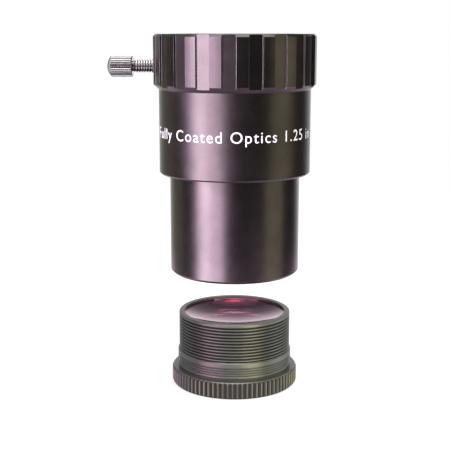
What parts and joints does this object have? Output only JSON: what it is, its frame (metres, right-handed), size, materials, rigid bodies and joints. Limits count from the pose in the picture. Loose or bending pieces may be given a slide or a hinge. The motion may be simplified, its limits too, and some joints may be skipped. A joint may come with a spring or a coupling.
{
  "type": "barlow lens",
  "caption": "Barlow lens for 1.25 inch eyepieces: fluted clamp head with thumbscrew, plain body, nosepiece, and an unscrewed lens cell with a grooved barrel and knurled flange.",
  "frame": {"origin": "on the optical axis, in the plane of the shoulder where the body meets the nosepiece", "axes": "+Z along the optical axis towards the eyepiece; -X towards the thumbscrew; +Y completes the right-handed frame"},
  "size_m": [0.0507, 0.0392, 0.0867],
  "materials": {
    "head_anodised": "black anodised, satin",
    "body_anodised": "black anodised over a fine bead-blasted grain",
    "nose_anodised": "black anodised, satin",
    "cell_anodised": "black anodised over fine turned grooves",
    "flat_black": "flat black, to stop stray light",
    "band_brass": "plain brass",
    "screw_plated": "bright nickel plate",
    "coated_glass": "clear glass with a pink anti-reflection coating",
    "spacer_plastic": "black plastic",
    "lettering_ink": "screen-printed white ink, for the lettering that the scene adds"
  },
  "bodies": {
    "tube": {"clamp_head": "head_anodised", "body_tube": "body_anodised", "nosepiece": "nose_anodised", "glare_baffle": "flat_black"},
    "clamp_band": {"compression_ring": "band_brass"},
    "screw_stud": {"thumbscrew_stud": "screw_plated"},
    "screw_knob": {"thumbscrew_knob": "screw_plated"},
    "lens_stack": {"front_lens": "coated_glass", "lens_spacer": "spacer_plastic", "rear_lens": "coated_glass"},
    "lens_cell": {"lens_barrel": "cell_anodised", "knurled_flange": "cell_anodised", "pressure_washer": "spacer_plastic", "retaining_ring": "cell_anodised"}
  },
  "joints": [
    {"name": "band_squeeze", "type": "slide", "parent": "tube", "child": "clamp_band", "axis": [1, 0, 0], "range_m": [0, 0.00012], "stiffness_N_per_m": 2000},
    {"name": "screw_advance", "type": "slide", "parent": "tube", "child": "screw_stud", "axis": [1, 0, 0], "range_m": [-0.00127, 0.00079]},
    {"name": "screw_turn", "type": "hinge", "parent": "screw_stud", "child": "screw_knob", "pos_m": [0, 0, 0.0257], "axis": [1, 0, 0], "range_deg": [-721, 449]},
    {"name": "cell_advance", "type": "slide", "parent": "tube", "child": "lens_stack", "axis": [0, 0, 1], "range_m": [0, 0.02445]},
    {"name": "cell_turn", "type": "hinge", "parent": "lens_stack", "child": "lens_cell", "pos_m": [0, 0, -0.0491], "axis": [0, 0, 1], "range_deg": [0, 14671]}
  ],
  "couplings": [
    {"joint": "screw_turn", "follows": "screw_advance", "rad_per_m": 9894.8},
    {"joint": "cell_turn", "follows": "cell_advance", "rad_per_m": 10472}
  ]
}
